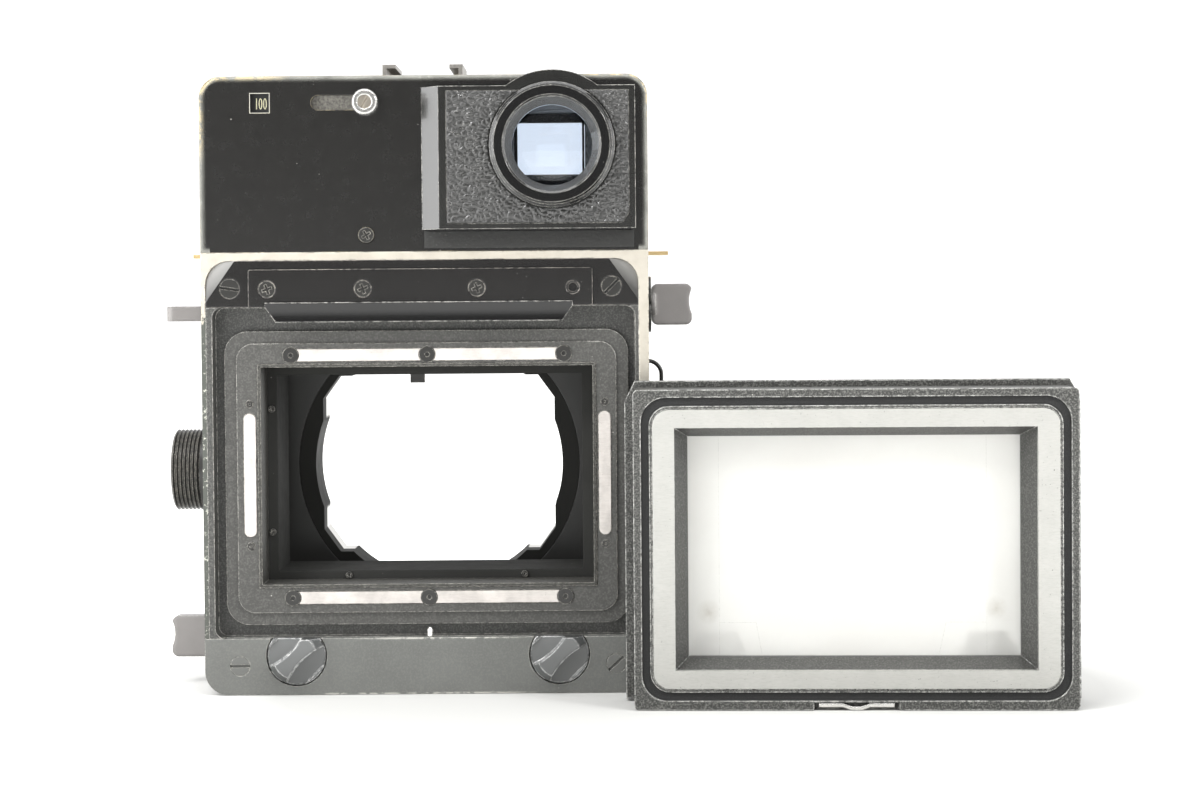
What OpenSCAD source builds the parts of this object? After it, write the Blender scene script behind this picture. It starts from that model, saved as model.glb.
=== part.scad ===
// Rangefinder press camera body for roll-film backs, with its focusing-screen back taken off
// and standing beside it. Millimetres, +Z up. The origin is the mouth of the tripod socket.
// Inside the modules Y = 0 is the back face of the body; at_socket() moves it into place.

/* [Body] */
// Width of the body casting
body_w = 112; // [108:1:116]
// Height of the body casting
body_h = 111; // [110:0.5:112]
// Depth of the body casting, back face to front face
body_d = 52; // [51:0.5:56]
// Radius of the lower corners
body_r = 6; // [4:1:8]
// Height of the top housing
top_h = 44; // [43:0.5:46]
// Depth of the top housing
top_d = 50; // [49:0.5:51]
// Thickness of the top housing wall
top_wall = 2; // [1.6:0.1:2.4]
// Distance from the back face to the tripod socket axis
socket_back = 28; // [26:1:32]

/* [Magazine well] */
// Depth of the well
well_d = 5; // [4:0.5:6]
// Width of the film gate
gate_w = 84.9; // [82:0.1:86]
// Height of the film gate
gate_h = 56.2; // [55:0.2:57]
// Width of the baffle opening
baffle_w = 78; // [74:1:79]
// Height of the baffle opening
baffle_h = 50.2; // [46:0.2:50.6]

/* [Lens mount] */
// Height of the lens axis above the base
axis_z = 54.5; // [53:0.5:56]
// Radius of the lens opening
mount_r = 33.4; // [32.4:0.2:34]
// Radius of the breech ring over its knurls
breech_r = 44.5; // [43:0.5:46]

/* [Locks and lugs] */
// Distance of each lock knob from the centre
lock_x = 33; // [30:1:36]
// Radius of each lock knob
lock_r = 7.35; // [7:0.05:7.8]
// Length of each strap lug outside its flange
lug_len = 10.4; // [8:0.4:12]
// Width of each strap lug
lug_w = 10.6; // [8:0.2:12]
// Thickness of each strap lug
lug_t = 3.8; // [3:0.2:4.6]

/* [Finder] */
// Distance of the eyepiece axis from the centre
eye_x = 32.2; // [30:0.2:34]
// Height of the eyepiece axis
eye_z = 137.2; // [136:0.2:138]
// Radius of the eyepiece ring
eye_r = 14.9; // [14:0.1:15.2]
// Travel of the frame selector
selector_travel = 10; // [8:0.5:10]

/* [Screen back] */
// Width of the screen back
screen_w = 106.3; // [104:0.1:110]
// Height of the screen back
screen_h = 77; // [75:0.2:80]
// Distance of its centre from the camera's centre
screen_x = 104.5; // [104:0.5:130]
// Angle that it is turned about the vertical
screen_yaw = -2.3; // [-3:0.1:0]

/* [Hidden] */
$fn = 64;

half_w = body_w / 2;
top_z = body_h + top_h;
over = 1;                     // how far a cutter runs past a face
gap = 0.05;                   // clearance between fixed pieces
run = 0.05;                   // radial clearance of a running fit

// Magazine well, measured at the back face
well_x0 = -53.25;
well_x1 = 52.5;
well_z0 = 14.25;
well_z1 = 97.25;
well_r = 2.5;
rim_t = 2;                    // depth of the rim and of the upper plate
rim_x0 = -54.9;
rim_x1 = 53.5;
rim_z1 = body_h - 2;
rim_r = 6;
panel_t = 2.5;                // thickness of the bottom panel

// Seal frame and gate
seal_y = 2.2;
seal_step = 0.8;
seal_w = 101.6;
seal_z0 = 17.25;
seal_z1 = 91.25;
seal_r = 5.8;
seal_in = 3.1;
gate_cx = 0.1;
gate_cz = 54.85;
gate_wall = 0.75;
gate_y = 1.8;
flange_y = 13;                // back face of the baffle flange
flange_t = 1;
baffle_cz = 54.75;
baffle_y = 34;
baffle_wall = 0.8;
pad_y = 1.9;
pad_t = 1;
pad_h = 3;
pad_top_z = 85.2;
pad_bottom_z = 24.1;
stud_x = [-34, 0.3, 34.6];
stud_r = 2;
side_pad_x = [-44.45, 44.75];
side_pad_z0 = 39.6;
side_pad_z1 = 70.6;

// Chamber in the casting
chamber_x = 50;
chamber_z0 = 8;
chamber_z1 = 104;
chamber_y0 = 20;
front_t = 5;                  // thickness of the casting's front wall
spigot_r = 38;

// Screws
slot_r = 2.45;
slot_pos = [[-48.85, 102, -8], [46.7, 102, 45], [-47.2, 7.3, 0], [47.2, 7.3, 42]];
cross_r = 2.05;
cross_x = [-39.3, -15.35, 13.1];
cross_z = 101.8;
empty_x = 37.05;
housing_screw = [-14.5, 115.2];
baffle_screws = [[-40.4, 71.2], [-40.4, 39.7], [-21, 28.5], [24, 28.5]];
small_r = 0.85;
shank = 1;

// Lens mount, front faces
flange_front = body_d + 2;
hub_front = flange_front + 6.5;
retainer_front = hub_front + 1.3;
hub_r = 38;
flange_r = 45;
retainer_r = 40.6;

// Locks
lock_z = 9.8;
lock_y0 = -0.2;
lock_y1 = 2.3;
spindle_r = 3;
bar_w = 6.3;                  // finger bar across the knob, at its ends
bar_waist = 3.4;
bar_h = 2.6;
spindle_end = 13;

// Lugs: side of the body, height, and turn of the tab
lug_y = 20;
lug_root = 1;
neck_r = 2.5;
lug_upper_left = [-1, 95.7, 90];
lug_upper_right = [1, 97.2, 0];
lug_lower_left = [-1, 12.3, 0];
lug_lower_right = [1, 12.3, 0];
lug_places = [lug_upper_left, lug_upper_right, lug_lower_left, lug_lower_right];

// Grip boss
boss_y = 30;
boss_z = 54.6;
boss_r = 10.6;
boss_land_r = 9.9;
boss_land = 3.6;
boss_end = 11.8;
thread_pitch = 1.15;
thread_turns = 7;

// Side eyelets and wire loop
eyelet_y0 = 22;
eyelet_y1 = 32;
eyelet_out = 5.6;
wire_r = 0.55;
wire_y = 40;
wire_bend = 3.7;
wire_top = 82;
wire_bottom = 44;

// Finder
block_x0 = -0.5;
block_x1 = 52.9;
block_z0 = 116.4;
block_z1 = 151.9;
block_y = 4;
block_arc = 18.6;
view_x = 31.2;
view_z = 139;
view_w = 17;
view_h = 13.2;
tube_w = 19;
tube_h = 17.5;
tube_wall = 1.5;
tube_y0 = 6;
tube_y1 = 44;
mirror_x = -26;
optic_y = 25;
base_z = body_h + 2;

// Number window and selector
window_x = -40.8;
window_z = 148.3;
window_w = 5;
selector_x = -14.4;
selector_z = 148.3;
selector_slot = 15.5;
selector_slot_x = -20.25;
selector_slot_h = 3.6;

// Accessory shoe
shoe_x = -1.3;
shoe_w = 20.6;
shoe_y0 = 17;
shoe_y1 = 36;
shoe_h = 4.3;

// Rangefinder follower
follower_x = -5.4;
follower_w = 3.8;
follower_y = 44.2;
follower_t = 2.4;
follower_end = 76.5;
pivot_z = 118;
pivot_r = 1.5;

// Screen back, local Y = 0 at its silver face
screen_y = -27.4;
screen_block_t = 13;
screen_back_t = 18.4;
screen_cz = screen_h / 2 + 0.2;
seal_out_w = 102.5;
seal_out_h = 72.8;
seal_in_w = 98.6;
seal_in_h = 68.8;
face_w = 97;
face_h = 67;
face_in_w = 86.5;
face_in_h = 58.2;
glass_w = 80.2;
glass_h = 53.5;

black = [0.09, 0.09, 0.085];
grey_black = [0.18, 0.18, 0.175];
gloss = [0.04, 0.04, 0.04];
leather = [0.13, 0.13, 0.12];
cream = [0.84, 0.82, 0.76];
steel = [0.62, 0.62, 0.6];
silver = [0.75, 0.75, 0.74];
brass = [0.72, 0.58, 0.3];
glass = [0.75, 0.85, 0.9, 0.4];

// ---- shared shapes ----

// Moves the back face's coordinates so that the origin is the tripod socket
module at_socket() translate([0, -socket_back, 0]) children();

// A flat outline in X and Z, made solid from y0 to y1
module slab(y0, y1) translate([0, y1, 0]) rotate([90, 0, 0]) linear_extrude(y1 - y0) children();

module block(x0, x1, y0, y1, z0, z1) translate([x0, y0, z0]) cube([x1 - x0, y1 - y0, z1 - z0]);

module rod_y(x, z, r, y0, y1) translate([x, y1, z]) rotate([90, 0, 0]) cylinder(r = r, h = y1 - y0);

module rod_x(y, z, r, x0, x1) translate([x0, y, z]) rotate([0, 90, 0]) cylinder(r = r, h = x1 - x0);

module round_rect(x0, z0, x1, z1, r) {
    translate([x0, z0 + r]) square([x1 - x0, z1 - z0 - 2 * r]);
    translate([x0 + r, z0]) square([x1 - x0 - 2 * r, z1 - z0]);
    for (x = [x0 + r, x1 - r], z = [z0 + r, z1 - r]) translate([x, z]) circle(r);
}

module centred_rect(cx, cz, w, h) translate([cx - w / 2, cz - h / 2]) square([w, h]);

module centred_round(cx, cz, w, h, r) round_rect(cx - w / 2, cz - h / 2, cx + w / 2, cz + h / 2, r);

// Turned shapes: the profile's first value is the radius, the second the height along the axis
module turned_back(x, z, y = 0) translate([x, y, z]) rotate([90, 0, 0]) rotate_extrude() children();

module turned_front(x, z, y = 0) translate([x, y, z]) rotate([-90, 0, 0]) rotate_extrude() children();

// A screw with the top of its head at z = 0 and its shank below
module screw(head_r, head_h, shank_r, shank_l, cross) {
    slot_w = head_r * (cross ? 0.32 : 0.26);
    slot_l = head_r * (cross ? 1.25 : 2.2);
    difference() {
        union() {
            translate([0, 0, -head_h]) cylinder(r = head_r, h = head_h);
            translate([0, 0, -head_h - shank_l]) cylinder(r = shank_r, h = shank_l + head_h / 4);
        }
        for (turn = cross ? [0, 90] : [0])
            rotate(turn) translate([-slot_l / 2, -slot_w / 2, -head_h * 0.55]) cube([slot_l, slot_w, over]);
    }
}

module facing_back(x, y, z, turn = 0) translate([x, y, z]) rotate([90, 0, 0]) rotate(turn) children();

module facing_front(x, y, z, turn = 0) translate([x, y, z]) rotate([-90, 0, 0]) rotate(turn) children();

// The hole that a screw's head and shank need
module screw_hole(head_r, head_h, shank_r, shank_l) {
    translate([0, 0, -head_h]) cylinder(r = head_r + gap, h = head_h + over);
    translate([0, 0, -head_h - shank_l - gap]) cylinder(r = shank_r + gap, h = shank_l + over);
}

// ---- body ----

module body_outline() {
    translate([-half_w, body_r]) square([body_w, body_h - body_r]);
    translate([-half_w + body_r, 0]) square([body_w - 2 * body_r, body_h]);
    for (side = [-1, 1]) translate([side * (half_w - body_r), body_r]) circle(body_r);
}

module rim_inside(clear = 0) round_rect(rim_x0 + clear, -rim_r * 2, rim_x1 - clear, rim_z1 - clear, rim_r - clear);

module rim_outline() difference() {
    intersection() {
        body_outline();
        translate([-half_w, well_z0]) square([body_w, body_h]);
    }
    rim_inside();
}

module upper_plate_outline(clear = 0) intersection() {
    rim_inside(clear);
    translate([-half_w, well_z1 + clear]) square([body_w, body_h]);
}

// Each top corner of the upper plate slopes down towards the rim
module corner_slope(side) translate([side > 0 ? rim_x1 - 3.7 : rim_x0 + 3.7, 0, rim_z1 - 5.25])
    rotate([0, side * 54.8, 0]) rotate([-12, 0, 0]) translate([-20, -5, 0]) cube([40, 5, 12]);

module panel_outline() intersection() {
    body_outline();
    translate([-half_w, -over]) square([body_w, well_z0 + over]);
}

module slotted_holes() for (p = slot_pos)
    facing_back(p[0], 0, p[1]) screw_hole(slot_r, 1.1, 1.2, 7);

module retainer_holes() for (x = cross_x)
    facing_back(x, -1.4, cross_z) screw_hole(cross_r, 0.9, 0.95, 6);

module baffle_holes() for (p = baffle_screws)
    facing_back(p[0], flange_y, p[1]) translate([0, 0, -4]) cylinder(r = 0.5 + gap, h = 4 + over);

module lug_bore(place) rod_x(lug_y, place[1], neck_r + run,
    place[0] > 0 ? half_w - 6 - gap : -half_w - 2, place[0] > 0 ? half_w + 2 : -half_w + 6 + gap);

module gate_hole(y0, y1, clear) slab(y0, y1) centred_rect(gate_cx, gate_cz, gate_w + clear, gate_h + clear);

module mount_cutouts() for (mx = [0, 1], mz = [0, 1]) mirror([mx, 0]) mirror([0, mz])
    polygon([[mount_r - 2.1, 9], [mount_r - 2.1, 17.7], [mount_r - 6.5, 23.8], [21, 23.8], [18, 9]]);

module throat(y0, y1) {
    rod_y(0, axis_z, mount_r, y0, y1);
    slab(y0, y1) translate([0, axis_z]) mount_cutouts();
}

module body_casting() color(black) difference() {
    slab(0, body_d) body_outline();
    slab(-over, well_d) round_rect(well_x0, well_z0, well_x1, well_z1, well_r);
    slab(-over, rim_t) rim_outline();
    slab(-over, rim_t) upper_plate_outline();
    slab(-over, panel_t) panel_outline();
    gate_hole(well_d - over, flange_y + flange_t, 2 * gap);
    slab(flange_y, chamber_y0 + over)
        centred_rect(0, baffle_cz, baffle_w + 2 * (baffle_wall + gap), baffle_h + 2 * (baffle_wall + gap));
    block(-chamber_x, chamber_x, chamber_y0, body_d - front_t, chamber_z0, chamber_z1);
    rod_y(0, axis_z, spigot_r, body_d - front_t - over, body_d + over);
    block(-9.4, -1.4, 40, body_d - front_t, chamber_z1 - over, body_h + over);
    for (side = [-1, 1]) {
        rod_y(side * lock_x, lock_z, lock_r + 0.3, -over, lock_y1 + 0.2);
        rod_y(side * lock_x, lock_z, spindle_r + run, 0, spindle_end + 0.3);
        block(side > 0 ? half_w - 0.5 : -half_w - over, side > 0 ? half_w + over : -half_w + 0.5,
            8, 47, 22.5, 106);
        block(side > 0 ? half_w - 6 : -half_w - over, side > 0 ? half_w + over : -half_w + 6,
            eyelet_y0, eyelet_y1, body_h - 1, body_h + over);
    }
    slab(body_d - 0.5, body_d + over) round_rect(-52, 4, 52, 107, 4);
    translate([0, socket_back, -over]) cylinder(r = 8, h = 7 + over);
    for (p = lug_places) lug_bore(p);
    slotted_holes();
    retainer_holes();
    baffle_holes();
    for (z = [wire_bottom, wire_top]) rod_x(wire_y, z, wire_r + gap, half_w - 3, half_w + over);
    mount_screw_holes();
    rod_x(boss_y, boss_z, 4 + gap, -half_w - over, -half_w + 4);
}

module tripod_bush() color(steel) translate([0, socket_back, 0]) difference() {
    cylinder(r = 8, h = 7);
    translate([0, 0, -over]) cylinder(r = 3.2, h = 6.5 + over);
}

module bottom_panel() color(grey_black) difference() {
    slab(0, panel_t) intersection() {
        panel_outline();
        translate([-half_w, 0]) square([body_w, well_z0 - 0.05]);
    }
    for (side = [-1, 1]) rod_y(side * lock_x, lock_z, lock_r + 0.3, -over, panel_t + over);
    slotted_holes();
}

module slotted_screws() color(grey_black) for (p = slot_pos)
    facing_back(p[0], 0, p[1], p[2]) screw(slot_r, 1.1, 1.2, 7, false);

module rear_rim() color(cream) slab(0, rim_t) rim_outline();

module upper_plate() color(gloss) difference() {
    slab(0, rim_t) upper_plate_outline(gap);
    for (side = [-1, 1]) corner_slope(side);
    slotted_holes();
    retainer_holes();
}

module retainer_plate() color(gloss) difference() {
    slab(-1.4, 0) round_rect(-44, 97.25, 42, 106.75, 0.6);
    retainer_holes();
    facing_back(empty_x, -1.4, cross_z) cylinder(r = 1.1, h = 6, center = true);
    facing_back(empty_x, -0.8, cross_z) cylinder(r = cross_r - 0.4, h = over);
}

module cross_screws() color(grey_black) {
    for (x = cross_x) facing_back(x, -1.4, cross_z, 20) screw(cross_r, 0.9, 0.95, 6, true);
    facing_back(housing_screw[0], -0.5, housing_screw[1], 30) screw(1.9, 1, 0.95, 5, true);
}

// Polished hook that holds the top edge of a magazine
module rear_lip() color(gloss) difference() {
    slab(-3.4, -1.4) intersection() {
        round_rect(-39.6, 93.5, 37.05, 100, 1.2);
        polygon([[-39.6, 98.5], [-39.6, 97.2], [-37, 93.5], [34.45, 93.5], [37.05, 97.2], [37.05, 98.5]]);
    }
    rod_x(-14.9, 95.3, 12, -45, 45);
}

module seal_outline(inset) round_rect(-seal_w / 2 + inset, seal_z0 + inset, seal_w / 2 - inset,
    seal_z1 - inset, seal_r - inset / 2);

module seal_frame() color(black) difference() {
    union() {
        slab(seal_y + seal_step, well_d) seal_outline(0);
        slab(seal_y, well_d) seal_outline(seal_in);
    }
    gate_hole(-over, well_d + over, 2 * gap);
    slab(0, pad_y + pad_t) pad_outline(gap);
    for (p = stud_places()) rod_y(p[0], p[1], p[2] + gap, 0, pad_y + pad_t);
}

function stud_places() = concat(
    [for (x = stud_x, z = [pad_top_z, pad_bottom_z]) [x, z, stud_r]],
    [for (x = side_pad_x, z = [side_pad_z0 - 2.4, side_pad_z1 + 2.4]) [x, z, 0.9]]);

module pad_outline(clear) {
    difference() {
        for (z = [pad_top_z, pad_bottom_z], i = [0, 1])
            translate([stud_x[i] - clear, z - pad_h / 2 - clear])
                square([stud_x[i + 1] - stud_x[i] + 2 * clear, pad_h + 2 * clear]);
        for (x = stud_x, z = [pad_top_z, pad_bottom_z]) translate([x, z]) circle(stud_r + 0.15 - clear);
    }
    for (x = side_pad_x) {
        translate([x - pad_h / 2 - clear, side_pad_z0 + pad_h / 2])
            square([pad_h + 2 * clear, side_pad_z1 - side_pad_z0 - pad_h]);
        for (z = [side_pad_z0 + pad_h / 2, side_pad_z1 - pad_h / 2]) translate([x, z]) circle(pad_h / 2 + clear);
    }
}

module seal_pads() color(silver) slab(pad_y, pad_y + pad_t) pad_outline(0);

module pad_studs() color(grey_black) for (p = stud_places()) difference() {
    rod_y(p[0], p[1], p[2], p[2] > 1 ? 1.8 : 2.0, pad_y + pad_t);
    rod_y(p[0], p[1], p[2] * 0.3, 0, 2.3);
}

module locating_stud() color(steel) translate([0.5, 1.4, well_z0]) union() {
    cylinder(r = 0.85, h = 1.8);
    translate([0, 0, 1.8]) cylinder(r1 = 0.85, r2 = 0.4, h = 0.6);
}

module gate_frame() color(black) difference() {
    gate_hole(gate_y, flange_y, 0);
    gate_hole(0, flange_y + over, -2 * gate_wall);
}

module chamber_baffle() color(black) difference() {
    union() {
        gate_hole(flange_y, flange_y + flange_t, 0);
        slab(flange_y, baffle_y)
            centred_rect(0, baffle_cz, baffle_w + 2 * baffle_wall, baffle_h + 2 * baffle_wall);
    }
    slab(0, baffle_y + over) centred_rect(0, baffle_cz, baffle_w, baffle_h);
    baffle_holes();
}

module small_screws() color(steel) {
    for (p = baffle_screws) facing_back(p[0], flange_y - 0.6, p[1], 25) screw(small_r, 0.6, 0.5, 4, true);
    for (p = shoe_screw_places()) translate([p[0], p[1], top_z + 1.2]) rotate(p[0] * 9)
        screw(1.5, 0.6, 0.6, 2.4, true);
}

// ---- lens mount ----

module mount_screw_holes() for (a = [45:90:315]) translate([0, 0, axis_z])
    facing_front(42.2 * cos(a), flange_front, 42.2 * sin(a)) screw_hole(1.5, 0.9, 0.8, 5);

module mount_flange() color(steel) difference() {
    turned_front(0, axis_z) polygon([[20, body_d - front_t], [spigot_r - gap, body_d - front_t],
        [spigot_r - gap, body_d], [flange_r, body_d], [flange_r, flange_front],
        [hub_r, flange_front], [hub_r, hub_front], [20, hub_front]]);
    throat(body_d - front_t - over, hub_front + over);
    mount_screw_holes();
    for (a = [0:60:300]) translate([0, 0, axis_z])
        facing_front(36.9 * cos(a), hub_front, 36.9 * sin(a))
            translate([0, 0, -3]) cylinder(r = 0.5 + gap, h = 3 + over);
}

module breech_retainer() color(steel) difference() {
    turned_front(0, axis_z) polygon([[20, hub_front], [retainer_r, hub_front],
        [retainer_r, retainer_front - 0.5], [retainer_r - 0.5, retainer_front], [20, retainer_front]]);
    throat(hub_front - over, retainer_front + over);
    for (a = [0:60:300]) translate([0, 0, axis_z])
        facing_front(36.9 * cos(a), retainer_front, 36.9 * sin(a)) screw_hole(1.1, 0.6, 0.5, 2.7);
}

module mount_screws() color(steel) translate([0, 0, axis_z]) {
    for (a = [45:90:315]) facing_front(42.2 * cos(a), flange_front, 42.2 * sin(a), a)
        screw(1.5, 0.9, 0.8, 5, true);
    for (a = [0:60:300]) facing_front(36.9 * cos(a), retainer_front, 36.9 * sin(a), a)
        screw(1.1, 0.6, 0.5, 2.7, false);
}

// Knurled ring that turns on the hub and clamps a lens
module breech_ring() color(grey_black) difference() {
    turned_front(0, axis_z) polygon([[hub_r + run, flange_front + 0.1], [breech_r - 0.6, flange_front + 0.1],
        [breech_r, flange_front + 0.7], [breech_r, hub_front - 0.9], [breech_r - 0.8, hub_front - 0.1],
        [hub_r + run, hub_front - 0.1]]);
    for (a = [0:10:350]) translate([0, 0, axis_z])
        rod_y((breech_r + 0.5) * cos(a), (breech_r + 0.5) * sin(a), 1.2, flange_front, hub_front);
}

// ---- locks ----

// Half-moon knob: its flat clears the magazine, and a quarter turn puts its round edge over it
module lock_knob(side) color(black) translate([side * lock_x, 0, lock_z]) {
    difference() {
        rod_y(0, 0, lock_r, lock_y0, lock_y1);
        block(-lock_r, lock_r, -over, lock_y1 + over, well_z0 - lock_z, lock_r + over);
        // the face steps down on each side of the finger bar
        for (turn = [0, 180]) rotate([0, turn - 45, 0])
            block(-lock_r, lock_r, -over, lock_y0 + 0.7, bar_waist / 2, lock_r - 0.9);
    }
    // finger bar with hollow sides and sloping ends
    intersection() {
        rotate([0, -45, 0]) difference() {
            block(-lock_r, lock_r, lock_y0 - bar_h, lock_y0 + 0.7, -bar_w / 2, bar_w / 2);
            for (side = [-1, 1]) rod_y(0, side * (18 + bar_waist / 2), 18, -6, 2);
        }
        turned_back(0, 0) polygon([[0, -1], [lock_r - 0.2, -1], [lock_r - 0.2, 0.6], [lock_r - 2, 3], [0, 3]]);
        block(-lock_r, lock_r, -6, 1, -lock_r, well_z0 - lock_z);
    }
    rod_y(0, 0, spindle_r, lock_y1 - 0.2, spindle_end);
}

module lock_knob_left() lock_knob(-1);
module lock_knob_right() lock_knob(1);

// ---- side fittings ----

module lug_flanges() color(black) for (p = lug_places) difference() {
    union() for (z = [-3, 3]) rod_x(lug_y, p[1] + z, 4.2, p[0] > 0 ? half_w : -half_w - lug_root,
        p[0] > 0 ? half_w + lug_root : -half_w);
    lug_bore(p);
}

module strap_lug(place) color(grey_black)
    translate([place[0] * half_w, lug_y, place[1]]) mirror([place[0] > 0 ? 0 : 1, 0, 0]) {
        rod_x(0, 0, neck_r, -5.8, lug_root + 0.6);
        rod_x(0, 0, 3.4, lug_root + 0.1, lug_root + 1.2);
        rotate([place[2], 0, 0]) difference() {
            slab(-lug_t / 2, lug_t / 2)
                round_rect(lug_root + 0.1, -lug_w / 2, lug_root + 0.1 + lug_len, lug_w / 2, 1.7);
            rod_y(lug_root + lug_len + 7.4, 0.8, 8, -lug_t, lug_t);
        }
    }

module strap_lug_upper_left() strap_lug(lug_upper_left);
module strap_lug_upper_right() strap_lug(lug_upper_right);
module strap_lug_lower_left() strap_lug(lug_lower_left);
module strap_lug_lower_right() strap_lug(lug_lower_right);

// Threaded boss for the grip, on its base plate
module grip_boss() color(grey_black) translate([-half_w, boss_y, boss_z]) rotate([0, -90, 0]) {
    translate([0, 0, -3.9]) cylinder(r = 4, h = 4.9);
    linear_extrude(1) centred_round(0, 0, 24, 26, 3);
    difference() {
        rotate_extrude() polygon(concat([[0, 0.5], [boss_land_r, 0.5], [boss_land_r, 1 + boss_land]],
            [for (i = [0:thread_turns - 1], edge = [0, 1])
                [edge == 0 ? boss_r - 0.55 : boss_r,
                    1 + boss_land + (i + edge / 2 + 0.01) * (boss_end - 1 - boss_land) / thread_turns]],
            [[boss_r - 0.6, boss_end], [0, boss_end]]));
        translate([0, 0, boss_end - 3]) cylinder(r = 7.6, h = 3 + over);
    }
}

module side_eyelets() color(brass) for (side = [-1, 1]) difference() {
    block(side > 0 ? half_w - 5.9 : -half_w - eyelet_out, side > 0 ? half_w + eyelet_out : -half_w + 5.9,
        eyelet_y0 + gap, eyelet_y1 - gap, body_h - 1, body_h - gap);
    translate([side * (half_w + 3), (eyelet_y0 + eyelet_y1) / 2, body_h - 2]) cylinder(r = 1.5, h = 3);
}

module wire_loop() color(steel) translate([half_w, wire_y, 0]) {
    for (z = [wire_bottom, wire_top]) rod_x(0, z, wire_r, -2.9, 0.4);
    translate([0.4 + wire_bend, 0, wire_bottom + wire_bend])
        cylinder(r = wire_r, h = wire_top - wire_bottom - 2 * wire_bend);
    translate([0.4, 0, wire_top - wire_bend]) rotate([90, 0, 0])
        rotate_extrude(angle = 90) translate([wire_bend, 0]) circle(wire_r);
    translate([0.4, 0, wire_bottom + wire_bend]) rotate([-90, 0, 0])
        rotate_extrude(angle = 90) translate([wire_bend, 0]) circle(wire_r);
}

module side_leather() color(leather) for (side = [-1, 1]) difference() {
    block(side > 0 ? half_w - 0.5 : -half_w, side > 0 ? half_w : -half_w + 0.5, 8 + gap, 47 - gap,
        22.5 + gap, 106 - gap);
    for (p = lug_places) lug_bore(p);
    for (z = [wire_bottom, wire_top]) rod_x(wire_y, z, wire_r + gap, half_w - 3, half_w + over);
    rod_x(boss_y, boss_z, 4 + gap, -half_w - over, -half_w + 4);
}

module front_leather() color(leather) difference() {
    slab(body_d - 0.5, body_d) round_rect(-52 + gap, 4 + gap, 52 - gap, 107 - gap, 4);
    rod_y(0, axis_z, spigot_r + gap, body_d - 2, body_d + over);
    mount_screw_holes();
}

// ---- top housing ----

module top_outline(inset) {
    r = 5.5 - inset;
    x = half_w - inset;
    translate([-x, body_h - inset]) square([2 * x, top_h - r]);
    translate([-x + r, body_h - inset]) square([2 * (x - r), top_h]);
    for (side = [-1, 1]) translate([side * (x - r), top_z - inset - r]) circle(r);
}

module window_rect(x, w, h) centred_round(x, view_z, w, h, 1.5);

function shoe_screw_places() = [for (x = [shoe_x - 5.5, shoe_x + 5.5], y = [21.5, 31.5]) [x, y]];

module top_housing() color(gloss) difference() {
    slab(0, top_d) top_outline(0);
    slab(top_wall, top_d - top_wall) top_outline(top_wall);
    rod_y(eye_x, eye_z, 12.5, -over, top_wall + over);
    slab(-over, top_wall + over) centred_rect(window_x, window_z, window_w, window_w);
    slab(-over, top_wall + over) centred_round(selector_slot_x, selector_z, selector_slot, selector_slot_h, 1.79);
    slab(top_d - top_wall - over, top_d + over) {
        window_rect(view_x, 25, 19);
        window_rect(0, 18, 13);
        window_rect(mirror_x, 10, 10);
    }
    facing_back(housing_screw[0], 0.5, housing_screw[1]) screw_hole(1.9, 0.5, 0.95, 5);
    for (p = shoe_screw_places()) translate([p[0], p[1], top_z - 3]) cylinder(r = 0.6 + gap, h = 5);
}

module accessory_shoe() color(grey_black) translate([shoe_x, shoe_y0, top_z]) difference() {
    block(-shoe_w / 2, shoe_w / 2, 0, shoe_y1 - shoe_y0, 0, shoe_h);
    block(-shoe_w / 2 + 1, shoe_w / 2 - 1, -over, shoe_y1 - shoe_y0 - 1, 1.2, 3.3);
    block(-shoe_w / 2 + 3.4, shoe_w / 2 - 3.4, -over, shoe_y1, 1.2, shoe_h + over);
    for (p = shoe_screw_places()) translate([p[0] - shoe_x, p[1] - shoe_y0, 1.2])
        screw_hole(1.5, 0.6, 0.6, 2.4);
}

module eyepiece_block() color(gloss) difference() {
    union() {
        translate([0, 0, block_z0]) linear_extrude(block_z1 - block_z0)
            polygon([[block_x0, 0], [block_x0 + 4.5, -block_y], [block_x1, -block_y], [block_x1, 0]]);
        intersection() {
            rod_y(eye_x, eye_z, block_arc, -block_y, 0);
            block(block_x0, block_x1, -6, over, block_z0, top_z + 0.8);
        }
    }
    rod_y(eye_x, eye_z, 12.5, -8, over);
    slab(-6, -block_y + 0.4) block_leather_outline(0);
}

module block_leather_outline(clear) difference() {
    translate([6 + clear, 117.8 + clear]) square([45.2 - 2 * clear, 32.8 - 2 * clear]);
    polygon([[48.6, 116], [52, 116], [52, 121.5], [51.3 - clear, 120.6]]);
}

module finder_leather() color(leather) {
    difference() {
        slab(-block_y - 0.3, -block_y + 0.4) block_leather_outline(gap);
        rod_y(eye_x, eye_z, 15.8, -8, over);
    }
    slab(-0.7, 0) centred_rect(26.3, 113.9, 52.4, 4.4);
}

module eyepiece_ring() color(gloss) turned_back(eye_x, eye_z) polygon([[12, -3], [12.45, -3], [12.45, 4],
    [eye_r + 0.7, 4], [eye_r + 0.7, 4.9], [eye_r, 5.4], [eye_r, 7.5], [eye_r - 0.5, 8], [12.2, 8],
    [11.75, 7.6], [11.75, 7.1], [12, 7.1]]);

module eyepiece_cone() color(grey_black) turned_back(eye_x, eye_z) polygon([[10, 1.4], [11.95, 1.4],
    [11.95, 7], [11.7, 7], [10, 2.2]]);

module eyepiece_lens() color(glass) intersection() {
    rod_y(eye_x, eye_z, 11.9, -1.4, 2.6);
    translate([eye_x, 33, eye_z]) sphere(r = 34.2, $fn = 96);
}

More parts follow.
